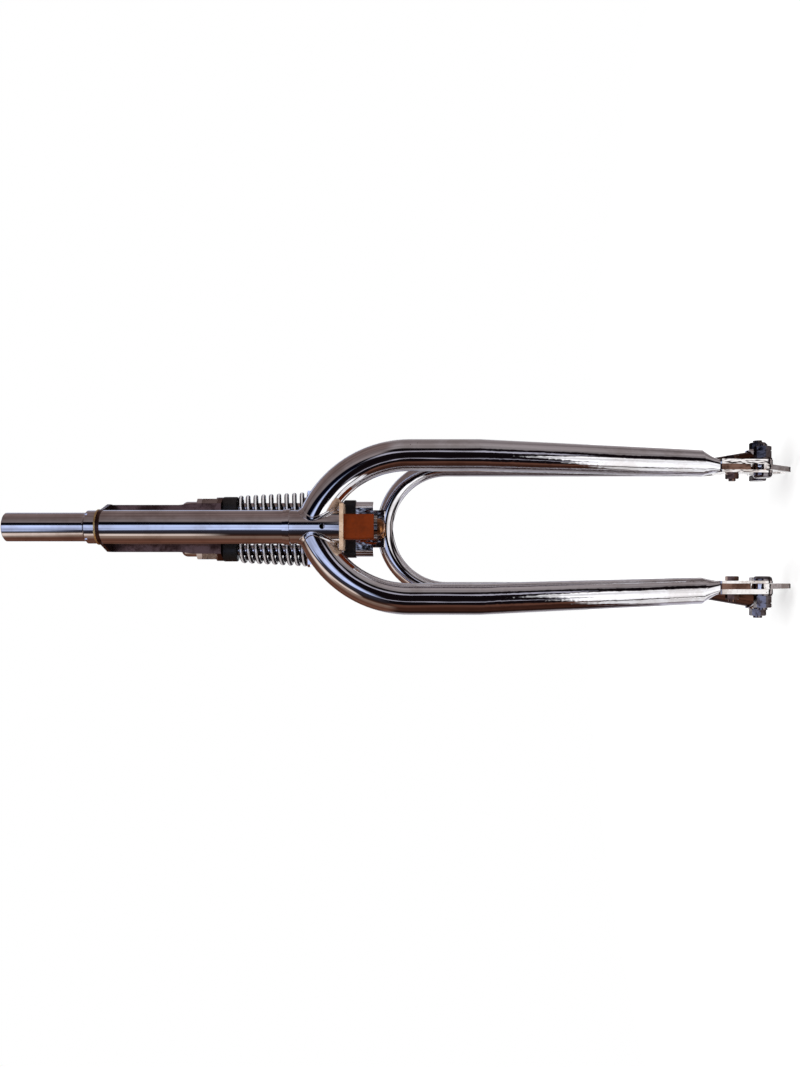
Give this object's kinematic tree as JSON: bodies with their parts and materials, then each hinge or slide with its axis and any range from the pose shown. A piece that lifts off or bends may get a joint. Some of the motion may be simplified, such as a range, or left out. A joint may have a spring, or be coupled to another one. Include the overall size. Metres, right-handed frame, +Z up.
{
  "type": "suspension fork",
  "caption": "Bicycle springer fork with a rigid rear fork, a sprung front fork on two rods and coil springs, and rockers that carry the front axle.",
  "frame": {"origin": "on the steerer's axis, at the crown race seat", "axes": "+Z up the steerer, +X forward to the sprung fork, +Y to the rider's left"},
  "size_m": [0.0729, 0.1644, 0.6989],
  "materials": {
    "chrome": "polished chrome plate on steel tube",
    "plate_steel": "chrome plate on flat steel",
    "crown_plate_steel": "chrome plate with a warm cast",
    "fastener_steel": "plated steel",
    "spring_steel": "chrome plated spring wire",
    "black_rubber": "matt black rubber",
    "brass_ring": "turned brass",
    "bush_bronze": "sintered bronze",
    "brown_block": "brown enamel"
  },
  "bodies": {
    "rear_fork": {"brass_washer": "brass_ring", "coil_spring_left": "spring_steel", "coil_spring_right": "spring_steel", "crown_plate": "crown_plate_steel", "crown_race": "chrome", "dropout_plate_inner_left": "plate_steel", "dropout_plate_inner_right": "plate_steel", "dropout_plate_outer_left": "plate_steel", "dropout_plate_outer_right": "plate_steel", "dropout_spacer_left": "plate_steel", "dropout_spacer_right": "plate_steel", "fender_block": "brown_block", "fender_bolt": "chrome", "fender_washer": "fastener_steel", "fork_leg_left": "chrome", "fork_leg_right": "chrome", "guide_bush_left": "bush_bronze", "guide_bush_right": "bush_bronze", "guide_shelf": "chrome", "rear_pivot_bolts": "fastener_steel", "rear_pivot_lock_nuts": "fastener_steel", "rear_pivot_nuts": "fastener_steel", "rear_pivot_washers": "fastener_steel", "rubber_bush_left": "black_rubber", "rubber_bush_right": "black_rubber", "spring_bracket": "chrome", "stay_bolts": "fastener_steel", "stay_nuts": "fastener_steel", "steerer_collar": "chrome", "steerer_tube": "chrome", "stem_plug": "fastener_steel", "stem_tube": "chrome"},
    "sprung_fork": {"bump_pad": "black_rubber", "front_fork_tube": "chrome", "front_pivot_bolts": "fastener_steel", "front_pivot_nuts": "fastener_steel", "front_pivot_washers": "fastener_steel", "front_yoke": "chrome", "pivot_boss_left": "chrome", "pivot_boss_right": "chrome", "rod_cap_nuts": "chrome", "rod_lock_nuts": "fastener_steel", "rod_nuts": "fastener_steel", "rod_washers": "fastener_steel", "spring_rod_left": "chrome", "spring_rod_right": "chrome", "spring_seat_left": "chrome", "spring_seat_right": "chrome"},
    "rocker_arm_left": {"rocker_left": "plate_steel", "rocker_bush_left": "bush_bronze"},
    "rocker_arm_right": {"rocker_right": "plate_steel", "rocker_bush_right": "bush_bronze"}
  },
  "joints": [
    {"name": "fork_travel", "type": "slide", "parent": "rear_fork", "child": "sprung_fork", "axis": [0, 0, 1], "range_m": [0, 0.024], "stiffness_N_per_m": 36000, "springref_m": -0.006, "deforming": ["coil_spring_left", "coil_spring_right"]},
    {"name": "rocker_swing_left", "type": "hinge", "parent": "rear_fork", "child": "rocker_arm_left", "pos_m": [0, 0.05225, -0.42], "axis": [0, -1, 0], "range_deg": [0, 33.31]},
    {"name": "rocker_swing_right", "type": "hinge", "parent": "rear_fork", "child": "rocker_arm_right", "pos_m": [0, -0.05225, -0.42], "axis": [0, -1, 0], "range_deg": [0, 33.31]}
  ],
  "couplings": [
    {"joint": "rocker_swing_left", "follows": "fork_travel", "rad_per_m": 24.218},
    {"joint": "rocker_swing_right", "follows": "fork_travel", "rad_per_m": 24.218}
  ]
}
